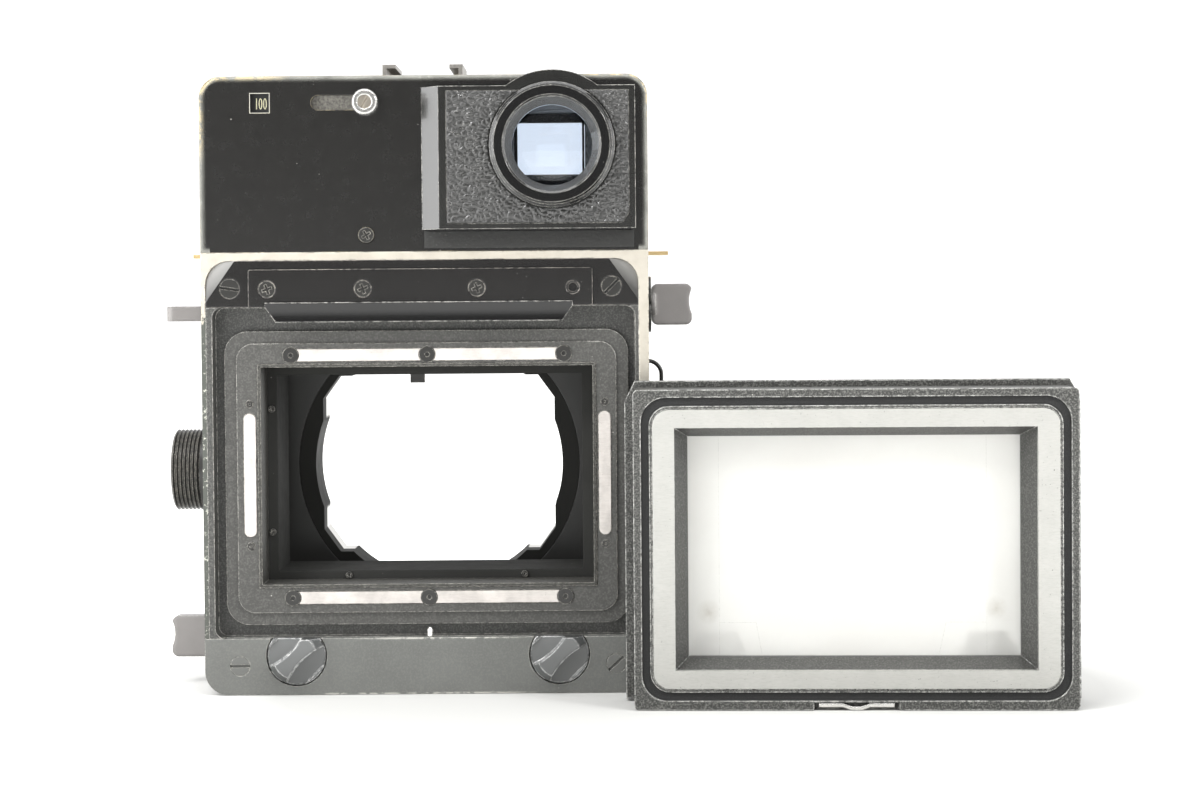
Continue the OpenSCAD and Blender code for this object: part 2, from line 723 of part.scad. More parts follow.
module finder_tube() color(black) difference() {
    union() {
        slab(tube_y0, tube_y1) centred_rect(view_x, view_z, tube_w + 2 * tube_wall, tube_h + 2 * tube_wall);
        block(view_x - 6, view_x + 6, 12, 38, base_z, view_z - tube_h / 2 - tube_wall / 2);
    }
    slab(tube_y0 - over, tube_y1 - 2) centred_rect(view_x, view_z, tube_w, tube_h);
    slab(tube_y0, tube_y1 + over) centred_round(view_x, view_z, view_w, view_h, 0.9);
    block(view_x - tube_w, view_x - tube_w / 4, optic_y - 6, optic_y + 6, view_z - 5, view_z + 5);
}

module beam_splitter() color(glass) translate([view_x, optic_y, view_z]) rotate([0, 0, -45])
    block(-12, 12, -0.4, 0.4, -tube_h / 2 + 0.05, tube_h / 2 - 0.05);

module finder_window() color(glass) slab(top_d - top_wall, top_d - 0.4)
    centred_round(view_x, view_z, 25 - 2 * gap, 19 - 2 * gap, 1.5);

module frameline_window() color(glass) slab(top_d - top_wall, top_d - 0.4)
    centred_round(0, view_z, 18 - 2 * gap, 13 - 2 * gap, 1.5);

module rangefinder_window() color(glass) slab(top_d - top_wall, top_d - 0.4)
    centred_round(mirror_x, view_z, 10 - 2 * gap, 10 - 2 * gap, 1.5);

// Chassis that carries the finder and the rangefinder
module finder_base() color(brass) difference() {
    union() {
        block(-50, 50, 4, 46, body_h, base_z);
        block(-19, -10, top_wall + gap, 7, body_h, base_z + 5);
        for (x = [-13.4, 0.6]) block(x, x + 2, 41, 47.5, body_h + 1, pivot_z + 3.2);
        translate([mirror_x, optic_y, body_h]) cylinder(r = pivot_r, h = 7.5);
    }
    block(-10.6, -0.4, 36, 48, body_h - over, base_z + over);
    rod_x(follower_y, pivot_z, pivot_r + 0.01, -20, 10);
    facing_back(housing_screw[0], 0.5, housing_screw[1]) screw_hole(1.9, 0.5, 0.95, 5);
}

module follower_shaft() color(steel) rod_x(follower_y, pivot_z, pivot_r, -14, 3.2);

// Lever whose pin hangs in the lens opening and feels the lens's focusing cam
module follower_lever() color(brass) difference() {
    union() {
        rod_x(follower_y, pivot_z, 3, -9, -1.8);
        block(follower_x - follower_w / 2, follower_x + follower_w / 2, follower_y - follower_t / 2,
            follower_y + follower_t / 2, follower_end, pivot_z);
    }
    rod_x(follower_y, pivot_z, pivot_r + run, -20, 10);
}

module mirror_carrier() color(brass) translate([mirror_x, optic_y, 0]) difference() {
    union() {
        translate([0, 0, base_z + 0.2]) cylinder(r = 3.2, h = 6);
        rotate([0, 0, -45]) block(-6, 6, -2, -0.6, base_z + 3, view_z + 7);
    }
    translate([0, 0, base_z - over]) cylinder(r = pivot_r + run, h = 6.6 + over);
    rotate([0, 0, -45]) block(-6.5, 6.5, -0.6, 4, base_z + 6.4, view_z + 9);
}

module rangefinder_mirror() color(silver) translate([mirror_x, optic_y, view_z]) rotate([0, 0, -45])
    block(-5.5, 5.5, -0.6, 0.9, -6, 6);

// ---- frame selector ----

module number_slide() color(grey_black) difference() {
    slab(top_wall + 0.2, top_wall + 1.2) round_rect(-43.6, 144.6, -10.8, 151.2, 0.8);
    rod_y(selector_x, selector_z, 1 + gap, 0, 5);
}

module selector_knob() color(steel) difference() {
    union() {
        turned_back(selector_x, selector_z) polygon([[0, 0.15], [3.3, 0.15], [3.3, 1.7], [2.9, 2.2], [0, 2.2]]);
        rod_y(selector_x, selector_z, 1.7, -0.5, top_wall + 0.2);
    }
    facing_back(selector_x, -1.8, selector_z) screw_hole(1.7, 0.6, 1, 5);
}

module selector_screw() color(steel) facing_back(selector_x, -2, selector_z, 60) screw(1.7, 0.8, 1, 5, false);

// ---- screen back ----

module at_screen() translate([screen_x, screen_y, 0]) rotate([0, 0, screen_yaw]) children();

module screen_ring(w, h, r) centred_round(0, screen_cz, w, h, r);

module screen_casting() color(black) at_screen() difference() {
    slab(0, screen_block_t) round_rect(-screen_w / 2, 0, screen_w / 2, screen_h, 1.2);
    slab(-over, 2.2) difference() {
        screen_ring(seal_out_w, seal_out_h, 6);
        screen_ring(seal_in_w, seal_in_h, 4.8);
    }
    slab(-over, 1) screen_ring(face_w + 2 * gap, face_h + 2 * gap, 4);
    slab(-over, 9.7) centred_rect(0, screen_cz, face_in_w + 0.7, face_in_h + 0.7);
    slab(9, 14) centred_rect(0, screen_cz, glass_w + 2, glass_h + 1.6);
    block(-10.2, 10.2, -over, 1.8, -over, 1.9);
}

module screen_flange() color(black) at_screen() difference() {
    slab(screen_block_t, screen_back_t) polygon([[-55.5, 0.6], [55.5, 0.6], [55.5, 73.6], [53, 78.6], [-53, 78.6],
        [-55.5, 73.6]]);
    slab(screen_block_t - over, screen_back_t + over) screen_ring(90, 61, 3);
    // stepped edge round the far side
    slab(screen_back_t - 1.8, screen_back_t + over) difference() {
        centred_rect(0, 40, 130, 100);
        round_rect(-53.8, -5, 53.8, 77.2, 1);
    }
}

module screen_seal() color([0.05, 0.05, 0.05]) at_screen() slab(0.8, 2.2) difference() {
    screen_ring(seal_out_w - 2 * gap, seal_out_h - 2 * gap, 6);
    screen_ring(seal_in_w + 2 * gap, seal_in_h + 2 * gap, 4.8);
}

module screen_face() color(silver) at_screen() slab(-0.3, 1) difference() {
    screen_ring(face_w, face_h, 4);
    centred_rect(0, screen_cz, face_in_w, face_in_h);
}

module screen_bevel() color(black) at_screen() difference() {
    slab(1, 8) centred_rect(0, screen_cz, face_in_w + 0.7 - 2 * gap, face_in_h + 0.7 - 2 * gap);
    hull() {
        slab(0.9, 1) centred_rect(0, screen_cz, face_in_w, face_in_h);
        slab(6.9, 7) centred_rect(0, screen_cz, glass_w, glass_h);
    }
    slab(6.5, 9) centred_rect(0, screen_cz, glass_w, glass_h);
}

module ground_glass() color([0.9, 0.92, 0.92, 0.6]) at_screen()
    slab(8.05, 9.6) centred_rect(0, screen_cz, face_in_w - 0.9, face_in_h - 0.3);

module screen_clips() color(steel) at_screen() for (side = [-1, 1])
    slab(10, 10.9) translate([side * 32.7, screen_cz - 27.5]) polygon([[-7, 0], [7, 0], [4.6, 6.4], [-4.6, 6.4]]);

// Leaf spring with a V-shaped detent in the lower edge
module screen_spring() color(silver) at_screen() slab(0.1, 1.5)
    polygon([[-9, 0.75], [-3.2, 0.75], [-1.3, 0.05], [1.3, 0.05], [3.2, 0.75], [9, 0.75], [9, 1.65],
        [3.4, 1.65], [1, 0.85], [-1, 0.85], [-3.4, 1.65], [-9, 1.65]]);

at_socket() body_casting();
at_socket() tripod_bush();
at_socket() bottom_panel();
at_socket() slotted_screws();
at_socket() rear_rim();
at_socket() upper_plate();
at_socket() retainer_plate();
at_socket() cross_screws();
at_socket() rear_lip();
at_socket() seal_frame();
at_socket() seal_pads();
at_socket() pad_studs();
at_socket() locating_stud();
at_socket() gate_frame();
at_socket() chamber_baffle();
at_socket() small_screws();
at_socket() top_housing();
at_socket() accessory_shoe();
at_socket() eyepiece_block();
at_socket() finder_leather();
at_socket() side_leather();
at_socket() front_leather();
at_socket() eyepiece_ring();
at_socket() eyepiece_cone();
at_socket() eyepiece_lens();
at_socket() finder_tube();
at_socket() beam_splitter();
at_socket() finder_window();
at_socket() frameline_window();
at_socket() rangefinder_window();
at_socket() finder_base();
at_socket() mount_flange();
at_socket() breech_retainer();
at_socket() mount_screws();
at_socket() grip_boss();
at_socket() lug_flanges();
at_socket() side_eyelets();
at_socket() wire_loop();
at_socket() follower_shaft();
at_socket() lock_knob_left();
at_socket() lock_knob_right();
at_socket() breech_ring();
at_socket() number_slide();
at_socket() selector_knob();
at_socket() selector_screw();
at_socket() follower_lever();
at_socket() mirror_carrier();
at_socket() rangefinder_mirror();
at_socket() strap_lug_upper_left();
at_socket() strap_lug_upper_right();
at_socket() strap_lug_lower_left();
at_socket() strap_lug_lower_right();
at_socket() screen_casting();
at_socket() screen_flange();
at_socket() screen_seal();
at_socket() screen_face();
at_socket() screen_bevel();
at_socket() ground_glass();
at_socket() screen_clips();
at_socket() screen_spring();
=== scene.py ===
"""Looks for the press camera body and its focusing-screen back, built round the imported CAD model."""
import math

import bpy
from mathutils import Matrix, Vector, noise


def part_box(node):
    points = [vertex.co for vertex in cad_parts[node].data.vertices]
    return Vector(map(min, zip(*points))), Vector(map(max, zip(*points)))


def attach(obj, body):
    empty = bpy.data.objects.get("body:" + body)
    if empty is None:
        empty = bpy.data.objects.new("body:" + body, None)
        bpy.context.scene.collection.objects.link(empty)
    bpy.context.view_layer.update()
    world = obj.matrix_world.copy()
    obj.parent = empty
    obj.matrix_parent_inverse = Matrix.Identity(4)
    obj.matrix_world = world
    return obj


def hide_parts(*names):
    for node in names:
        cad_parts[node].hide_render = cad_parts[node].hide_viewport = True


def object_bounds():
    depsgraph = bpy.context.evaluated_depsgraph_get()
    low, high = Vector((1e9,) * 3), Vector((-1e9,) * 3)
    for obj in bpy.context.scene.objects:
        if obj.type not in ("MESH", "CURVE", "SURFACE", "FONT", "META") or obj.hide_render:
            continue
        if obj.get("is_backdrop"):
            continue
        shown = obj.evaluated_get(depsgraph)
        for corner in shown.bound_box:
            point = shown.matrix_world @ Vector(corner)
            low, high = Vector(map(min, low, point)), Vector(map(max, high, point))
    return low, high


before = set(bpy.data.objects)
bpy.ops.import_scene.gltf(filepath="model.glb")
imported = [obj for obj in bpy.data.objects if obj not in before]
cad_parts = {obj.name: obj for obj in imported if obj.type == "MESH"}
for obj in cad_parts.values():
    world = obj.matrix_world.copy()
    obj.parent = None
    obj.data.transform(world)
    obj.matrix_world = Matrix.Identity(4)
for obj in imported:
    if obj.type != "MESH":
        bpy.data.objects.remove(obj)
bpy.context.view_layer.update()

MM = 0.001


# ---- places taken from the CAD model ----

def low(node):
    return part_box(node)[0]


def high(node):
    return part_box(node)[1]


def centre(node):
    return (low(node) + high(node)) / 2


BACK_Y = low("body_casting").y
BODY_LEFT = low("body_casting").x
BODY_RIGHT = high("body_casting").x
BODY_TOP = high("body_casting").z
HOUSING_TOP = high("top_housing").z
BLOCK_FOOT = low("eyepiece_block").z
SCREEN_YAW = math.radians(-2.3)


# ---- camera, floor and light ----

VIEW_DISTANCE = 0.577        # from the back face
VIEW_HEIGHT = 0.101
VIEW_X = 0.04375
VIEW_PITCH = math.radians(1.3)
VIEW_ROLL = math.radians(-0.45)
VIEW_SHIFT = -0.048          # the rest of the downward view, as a lens shift
LENS_MM = 69.2
SENSOR_MM = 36


def add_camera():
    data = bpy.data.cameras.new("view")
    data.sensor_fit = "HORIZONTAL"
    data.sensor_width = SENSOR_MM
    data.lens = LENS_MM
    data.shift_y = VIEW_SHIFT
    data.clip_start = 0.01
    data.clip_end = 50
    camera = bpy.data.objects.new("view", data)
    bpy.context.collection.objects.link(camera)
    camera.matrix_world = (
        Matrix.Translation((VIEW_X, BACK_Y - VIEW_DISTANCE, VIEW_HEIGHT))
        @ Matrix.Rotation(math.pi / 2 - VIEW_PITCH, 4, "X")
        @ Matrix.Rotation(VIEW_ROLL, 4, "Z")
    )
    bpy.context.scene.camera = camera


def add_softbox(name, place, target, size, radiance):
    """A rectangular area light whose face has the given radiance."""
    data = bpy.data.lights.new(name, "AREA")
    data.shape = "RECTANGLE"
    data.size, data.size_y = size
    data.energy = radiance * math.pi * size[0] * size[1]
    light = bpy.data.objects.new(name, data)
    bpy.context.collection.objects.link(light)
    light.location = place
    aim = Vector(target) - Vector(place)
    light.rotation_euler = aim.to_track_quat("-Z", "Y").to_euler()


def add_world():
    """A white studio: bright beyond the object and at its sides, dimmer behind the photographer."""
    world = bpy.data.worlds.new("studio")
    bpy.context.scene.world = world
    world.use_nodes = True
    tree = world.node_tree
    tree.nodes.clear()
    place = tree.nodes.new("ShaderNodeTexCoord")
    split = tree.nodes.new("ShaderNodeSeparateXYZ")
    shift = tree.nodes.new("ShaderNodeMapRange")
    ramp = tree.nodes.new("ShaderNodeValToRGB")
    background = tree.nodes.new("ShaderNodeBackground")
    output = tree.nodes.new("ShaderNodeOutputWorld")
    tree.links.new(place.outputs["Generated"], split.inputs[0])
    tree.links.new(split.outputs["Y"], shift.inputs["Value"])
    shift.inputs["From Min"].default_value = -1
    shift.inputs["From Max"].default_value = 1
    tree.links.new(shift.outputs["Result"], ramp.inputs["Fac"])
    tree.links.new(ramp.outputs["Color"], background.inputs["Color"])
    tree.links.new(background.outputs[0], output.inputs["Surface"])
    stops = ramp.color_ramp.elements
    stops[0].position, stops[0].color = 0.0, (0.17, 0.17, 0.17, 1)
    stops[1].position, stops[1].color = 0.62, (1.0, 1.0, 1.0, 1)
    middle = stops.new(0.25)
    middle.color = (0.34, 0.34, 0.34, 1)
    background.inputs["Strength"].default_value = 1.2


def add_floor(material):
    size = 6
    mesh = bpy.data.meshes.new("floor")
    corners = [(-size, -size, 0), (size, -size, 0), (size, size, 0), (-size, size, 0)]
    mesh.from_pydata(corners, [], [(0, 1, 2, 3)])
    floor = bpy.data.objects.new("floor", mesh)
    bpy.context.collection.objects.link(floor)
    floor.location.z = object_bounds()[0][2] - 0.0001
    mesh.materials.append(material)
    floor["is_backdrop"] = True


# ---- materials ----

class Graph:
    """One material's nodes, with short calls for the usual steps. Lengths are in millimetres."""

    def __init__(self, name, **shader):
        self.material = bpy.data.materials.new(name)
        self.material.use_nodes = True
        self.tree = self.material.node_tree
        self.tree.nodes.clear()
        output = self.node("ShaderNodeOutputMaterial")
        self.shader = self.node("ShaderNodeBsdfPrincipled")
        self.link(self.shader.outputs[0], output.inputs["Surface"])
        for socket, value in shader.items():
            self.shader.inputs[socket.replace("_", " ")].default_value = value
        coords = self.node("ShaderNodeTexCoord")
        scale = self.node("ShaderNodeVectorMath", operation="SCALE")
        scale.inputs["Scale"].default_value = 1 / MM
        self.link(coords.outputs["Object"], scale.inputs[0])
        self.place = scale.outputs[0]
        self.axes = None

    def node(self, kind, **settings):
        made = self.tree.nodes.new(kind)
        for key, value in settings.items():
            setattr(made, key, value)
        return made

    def link(self, source, socket):
        self.tree.links.new(source, socket)

    def noise(self, size, detail=3, roughness=0.55, stretch=None):
        made = self.node("ShaderNodeTexNoise")
        made.inputs["Scale"].default_value = 1 / size
        made.inputs["Detail"].default_value = detail
        made.inputs["Roughness"].default_value = roughness
        place = self.place
        if stretch:
            mapping = self.node("ShaderNodeMapping")
            mapping.inputs["Scale"].default_value = stretch
            self.link(place, mapping.inputs["Vector"])
            place = mapping.outputs[0]
        self.link(place, made.inputs["Vector"])
        return made.outputs["Fac"]

    def cells(self, size, feature="F1", smooth=0.4):
        made = self.node("ShaderNodeTexVoronoi", feature=feature)
        made.inputs["Scale"].default_value = 1 / size
        if feature == "SMOOTH_F1":
            made.inputs["Smoothness"].default_value = smooth
        self.link(self.place, made.inputs["Vector"])
        return made.outputs["Distance"]

    def dust(self, spacing, size):
        """Sparse round dots, 1 inside a dot."""
        return self.remap(self.cells(spacing), size / spacing, 0.6 * size / spacing)

    def remap(self, value, start, end, out_start=0.0, out_end=1.0):
        made = self.node("ShaderNodeMapRange", clamp=True)
        self.link(value, made.inputs["Value"])
        for socket, number in zip(("From Min", "From Max", "To Min", "To Max"),
                                  (start, end, out_start, out_end)):
            made.inputs[socket].default_value = number
        return made.outputs["Result"]

    def math(self, operation, first, second=None):
        made = self.node("ShaderNodeMath", operation=operation)
        for socket, value in zip(made.inputs, (first, second)):
            if isinstance(value, (int, float)):
                socket.default_value = value
            elif value is not None:
                self.link(value, socket)
        return made.outputs[0]

    def times(self, *values):
        result = values[0]
        for value in values[1:]:
            result = self.math("MULTIPLY", result, value)
        return result

    def most(self, first, second):
        return self.math("MAXIMUM", first, second)

    def mix(self, factor, first, second):
        made = self.node("ShaderNodeMix", data_type="RGBA")
        self.link(factor, made.inputs["Factor"])
        for socket, value in zip((made.inputs[6], made.inputs[7]), (first, second)):
            if isinstance(value, tuple):
                socket.default_value = (*value, 1)
            else:
                self.link(value, socket)
        return made.outputs[2]

    def edges(self, radius, start=0.04, end=0.16):
        """1 along sharp edges, 0 on flat ground, with a band about radius wide."""
        bevel = self.node("ShaderNodeBevel", samples=4)
        bevel.inputs["Radius"].default_value = radius * MM
        geometry = self.node("ShaderNodeNewGeometry")
        dot = self.node("ShaderNodeVectorMath", operation="DOT_PRODUCT")
        self.link(bevel.outputs[0], dot.inputs[0])
        self.link(geometry.outputs["True Normal"], dot.inputs[1])
        return self.remap(self.math("SUBTRACT", 1.0, dot.outputs["Value"]), start, end)

    def near(self, point, reach):
        """1 at a point of the frame, falling to 0 at reach millimetres."""
        distance = self.node("ShaderNodeVectorMath", operation="DISTANCE")
        self.link(self.place, distance.inputs[0])
        distance.inputs[1].default_value = tuple(Vector(point) / MM)
        return self.remap(distance.outputs["Value"], 0, reach, 1, 0)

    def axis(self, name):
        if self.axes is None:
            self.axes = self.node("ShaderNodeSeparateXYZ")
            self.link(self.place, self.axes.inputs[0])
        return self.axes.outputs[name]

    def rounded(self, radius):
        bevel = self.node("ShaderNodeBevel", samples=6)
        bevel.inputs["Radius"].default_value = radius * MM
        return bevel.outputs[0]

    def bump(self, height, strength, distance, normal=None):
        made = self.node("ShaderNodeBump")
        made.inputs["Strength"].default_value = strength
        made.inputs["Distance"].default_value = distance * MM
        self.link(height, made.inputs["Height"])
        if normal is not None:
            self.link(normal, made.inputs["Normal"])
        self.link(made.outputs[0], self.shader.inputs["Normal"])

    def send(self, source, socket):
        self.link(source, self.shader.inputs[socket])


BRASS = (0.78, 0.66, 0.42)
PALE = (0.74, 0.72, 0.66)


def paint(name, colour, rough, wear=0.5, bare=PALE, grain=0.25, coat=0.0, chips=0.0, hot=(),
          rounding=0.35, specks=0.5, mask=None, edge=0.38, tone=None, level=0.5, calm=None, sandy=0.0):
    """Enamel on metal: slight mottling, dust, rubbed edges and chips down to the bare metal."""
    g = Graph(name, Coat_Weight=coat, Coat_Roughness=0.08, Specular_IOR_Level=level)
    speck = g.most(g.dust(6.5, 0.19), g.times(g.dust(1.7, 0.10), g.remap(g.noise(8, 3), 0.55, 0.65)))
    dark = tuple(0.90 * c for c in colour)
    base = g.mix(g.remap(g.noise(9, 4), 0.35, 0.65), dark, colour)
    base = g.mix(g.times(speck, specks), base, (0.42, 0.41, 0.38))
    ragged = g.remap(g.noise(0.9, 5, 0.75), 0.40, 0.60)
    patchy = g.remap(g.noise(11, 3), 0.55 - 0.3 * wear, 0.72 - 0.3 * wear, 0.35 * wear, 1)
    worn = g.times(g.edges(edge), ragged, patchy)
    for point, reach, band in hot:
        spot = g.remap(g.near(point, reach), 0.0, 0.35)
        spot = g.times(spot, g.remap(g.noise(2.2, 5, 0.7), 0.44, 0.50), g.edges(band, 0.02, 0.08))
        worn = g.most(worn, g.times(spot, mask(g)) if mask else spot)
    if chips:
        worn = g.most(worn, g.remap(g.noise(2.6, 6, 0.8), 0.80 - 0.12 * chips, 0.812 - 0.12 * chips))
    if sandy:
        sand = g.remap(g.noise(0.42, 3, 0.6), 0.46, 0.64)
        base = g.mix(g.times(sand, sandy), base, (0.26, 0.26, 0.24))
    if calm:
        worn = g.times(worn, calm(g))
    if tone:
        base = tone(g, base)
    g.send(g.mix(worn, base, bare), "Base Color")
    g.send(g.times(worn, 0.3), "Metallic")
    g.send(g.remap(g.noise(3.5, 5, 0.65), 0.3, 0.7, rough * 0.92, min(1, rough * 1.1)), "Roughness")
    normal = g.rounded(rounding)
    if mask:
        wide = g.node("ShaderNodeMix", data_type="VECTOR")
        g.link(mask(g), wide.inputs["Factor"])
        g.link(normal, wide.inputs[4])
        g.link(g.rounded(1.6), wide.inputs[5])
        normal = wide.outputs[1]
    g.bump(g.noise(grain, 2, 0.5), 0.10, 0.04, normal)
    return g.material


def painted_corner_highlight(g, base):
    """Painted highlight: lightens the facets that slope towards the plate's corners."""
    geometry = g.node("ShaderNodeNewGeometry")
    split = g.node("ShaderNodeSeparateXYZ")
    g.link(geometry.outputs["True Normal"], split.inputs[0])
    side = g.math("ABSOLUTE", split.outputs["X"])
    sloped = g.times(g.remap(side, 0.08, 0.12), g.remap(side, 0.9, 0.95, 1, 0))
    out = g.math("ADD", g.times(g.math("ABSOLUTE", g.axis("X")), 0.6), g.times(g.axis("Z"), 0.8))
    fade = g.remap(g.math("ADD", out, g.noise(3, 3)), 113, 121, 0.15, 1)
    return g.mix(g.times(sloped, fade), base, (0.34, 0.335, 0.32))


def painted_rim_highlight(g, base):
    """Painted highlight: the light strip that runs along the housing's rounded outer edge."""
    band = g.times(g.edges(2.2, 0.002, 0.06), housing_rim(g), g.remap(g.noise(7, 3), 0.3, 0.6, 0.5, 0.95))
    return g.mix(band, base, (0.40, 0.40, 0.36))


def chamber_dark(g, base):
    return g.mix(outside(g), (0.034, 0.034, 0.032), base)


def outside(g):
    """0 inside the body's dark chamber, 1 elsewhere."""
    x = g.math("LESS_THAN", g.math("ABSOLUTE", g.axis("X")), 47.5)
    y = g.math("GREATER_THAN", g.axis("Y"), BACK_Y / MM + 5)
    z = g.times(g.math("GREATER_THAN", g.axis("Z"), 14), g.math("LESS_THAN", g.axis("Z"), 97))
    return g.math("SUBTRACT", 1.0, g.times(x, y, z))


def screw_tone(g, base):
    """The screws in the bottom panel share its grey paint."""
    return g.mix(g.remap(g.axis("Z"), 19, 20, 1, 0), base, (0.115, 0.117, 0.110))


def unworn(g):
    return g.math("MULTIPLY", g.axis("Y"), 0.0)


def slide_tone(g, base):
    """The rear slide is bare grey metal where the slot shows it, black behind the number window."""
    bare = g.mix(g.remap(g.noise(0.5, 4), 0.35, 0.65), (0.10, 0.095, 0.085), (0.24, 0.23, 0.20))
    return g.mix(g.remap(g.axis("X"), -34, -33.5), base, bare)


def housing_rim(g):
    """Marks the outer edges of the top housing, which are rounded more than its openings."""
    x = g.math("ABSOLUTE", g.axis("X"))
    side = g.math("GREATER_THAN", x, BODY_RIGHT / MM - 2.4)
    top = g.math("GREATER_THAN", g.axis("Z"), HOUSING_TOP / MM - 2.4)
    return g.most(side, top)


def metal(name, colour, rough, brush=None, stain=0.15, scratch=0.5, rounding=0.15):
    """Bare or plated metal with a fine brushed grain, small scratches and dull spots."""
    g = Graph(name, Metallic=1.0)
    dull = tuple(c * (1 - stain) for c in colour)
    dark = tuple(c * 0.4 for c in colour)
    tint = g.mix(g.remap(g.noise(6, 5, 0.6), 0.35, 0.68), colour, dull)
    pits = g.remap(g.noise(0.55, 3, 0.6), 0.68, 0.73)
    tint = g.mix(g.times(pits, 0.7 * scratch + 0.1), tint, dark)
    rub = g.times(g.edges(0.25), g.remap(g.noise(1.5, 5, 0.7), 0.50, 0.60), scratch)
    g.send(g.mix(rub, tint, dark), "Base Color")
    lines = g.noise(0.25, 4, 0.7, brush or (1, 1, 1))
    g.send(g.remap(lines, 0.3, 0.7, rough * 0.75, min(1, rough * 1.4)), "Roughness")
    g.bump(lines, 0.15 * scratch + 0.03, 0.02, g.rounded(rounding))
    return g.material


def rim_metal(name):
    """Satin chrome that gives way to black enamel low on the left side, with scratches."""
    g = Graph(name)
    chrome = g.mix(g.remap(g.noise(5, 5, 0.6), 0.35, 0.68), (0.66, 0.62, 0.54), (0.58, 0.54, 0.465))
    nick = g.times(g.edges(0.5), g.remap(g.noise(1.6, 6, 0.8, (0.5, 1, 1)), 0.50, 0.56))
    chrome = g.mix(nick, chrome, (0.05, 0.045, 0.04))
    left = g.math("LESS_THAN", g.axis("X"), 0.0)
    fade = g.math("ADD", g.axis("Z"), g.remap(g.noise(1.5, 5, 0.7), 0.3, 0.7, -3, 3))
    black = g.times(left, g.remap(fade, 94, 95.5, 1, 0))
    chips = g.remap(g.noise(1.2, 6, 0.75), 0.58, 0.62)
    enamel = g.mix(chips, (0.07, 0.075, 0.065), (0.50, 0.50, 0.44))
    g.send(g.mix(black, chrome, enamel), "Base Color")
    g.send(g.remap(black, 0, 1, 0.9, 0.1), "Metallic")
    g.send(g.remap(g.noise(0.6, 4, 0.7), 0.3, 0.7, 0.30, 0.50), "Roughness")
    g.bump(g.noise(0.3, 3, 0.6), 0.08, 0.03, g.rounded(0.25))
    return g.material


def mount_metal(name, axis_x, axis_z, radius, front):
    """Bright metal at the front of the lens mount, flat black inside its opening and behind it."""
    g = Graph(name, Specular_IOR_Level=0.05)
    x = g.math("SUBTRACT", g.axis("X"), axis_x / MM)
    z = g.math("SUBTRACT", g.axis("Z"), axis_z / MM)
    out = g.math("SQRT", g.math("ADD", g.times(x, x), g.times(z, z)))
    bright = g.times(g.remap(out, radius, radius + 0.3), g.remap(g.axis("Y"), front, front + 0.3))
    cloud = g.remap(g.noise(5, 4, 0.6), 0.35, 0.68)
    g.send(g.mix(bright, (0.032, 0.032, 0.030), (0.70, 0.69, 0.66)), "Base Color")
    g.send(g.times(bright, 0.95), "Metallic")
    g.send(g.math("ADD", g.remap(cloud, 0, 1, 0.28, 0.38), g.remap(bright, 0, 1, 0.2, 0)), "Roughness")
    g.bump(g.noise(0.3, 3, 0.6), 0.08, 0.03, g.rounded(0.2))
    return g.material


def leatherette(name, dark_below=None):
    """Black wrinkled leatherette: shiny grains with small painted glints, and painted shade darkening the dull
    creases between them.
    """
    g = Graph(name, Specular_IOR_Level=0.6, Coat_Weight=0.7, Coat_Roughness=0.07)
    grains = g.remap(g.cells(0.95, "SMOOTH_F1", 0.2), 0.10, 0.62, 1, 0)
    folds = g.noise(1.5, 6, 0.75, (1.5, 1, 0.8))
    crease = g.remap(g.math("ABSOLUTE", g.math("SUBTRACT", folds, 0.5)), 0.0, 0.06)
    height = g.math("ADD", g.times(grains, 0.45), g.math("ADD", g.times(crease, 0.4), g.times(folds, 0.8)))
    # Painted light and shade: the grain tops are a little lighter than the creases.
    tone = g.mix(g.times(grains, crease), (0.006, 0.006, 0.005), (0.020, 0.0195, 0.018))
    # Painted glints: small light flecks on the grains, in patches, weaker on the strip under the eyepiece
    # block.
    light = g.times(g.remap(g.noise(0.62, 4, 0.7, (0.7, 1, 1.7)), 0.54, 0.64), grains)
    painted_glint_amount = g.remap(g.noise(12, 2), 0.38, 0.62, 0.05, 0.3)
    if dark_below:
        upper = g.remap(g.axis("Z"), dark_below - 0.3, dark_below + 0.3)
        painted_glint_amount = g.times(painted_glint_amount, g.remap(upper, 0, 1, 0.25, 1))
        g.send(g.remap(upper, 0, 1, 0.1, 0.7), "Coat Weight")
        tone = g.mix(upper, (0.009, 0.009, 0.008), tone)
    g.send(g.mix(g.times(light, painted_glint_amount), tone, (0.66, 0.65, 0.62)), "Base Color")
    gloss = g.remap(grains, 0, 1, 0.42, 0.14)
    if dark_below:
        gloss = g.most(gloss, g.remap(upper, 0, 1, 0.75, 0.0))
    g.send(gloss, "Roughness")
    g.bump(height, 0.4, 0.12)
    return g.material


def clear_glass(name, tint, ior=1.5, coat=0.0):
    g = Graph(name, Transmission_Weight=1.0, IOR=ior, Coat_Weight=coat, Coat_Roughness=0.03)
    smear = g.noise(5, 4, 0.6)
    g.send(g.remap(smear, 0.42, 0.75, 0.01, 0.06), "Roughness")
    g.send(g.mix(g.remap(smear, 0.3, 0.7), tint, tuple(0.97 * c for c in tint)), "Base Color")
    return g.material


def ground_glass(name):
    """Finely ground glass, warm white, with two old spots near the lower corners."""
    g = Graph(name, Transmission_Weight=0.55, IOR=1.5)
    tone = g.mix(g.remap(g.noise(18, 4, 0.55), 0.35, 0.7), (0.80, 0.798, 0.775), (0.76, 0.755, 0.73))
    for spot, reach in GLASS_SPOTS:
        blot = g.times(g.near(spot, reach), g.remap(g.noise(1.5, 4), 0.3, 0.7, 0.4, 0.9))
        tone = g.mix(blot, tone, (0.52, 0.50, 0.45))
    g.send(tone, "Base Color")
    g.send(g.remap(g.noise(0.2, 3, 0.6), 0.3, 0.7, 0.86, 0.98), "Roughness")
    g.bump(g.noise(0.08, 2, 0.5), 0.15, 0.01)
    return g.material


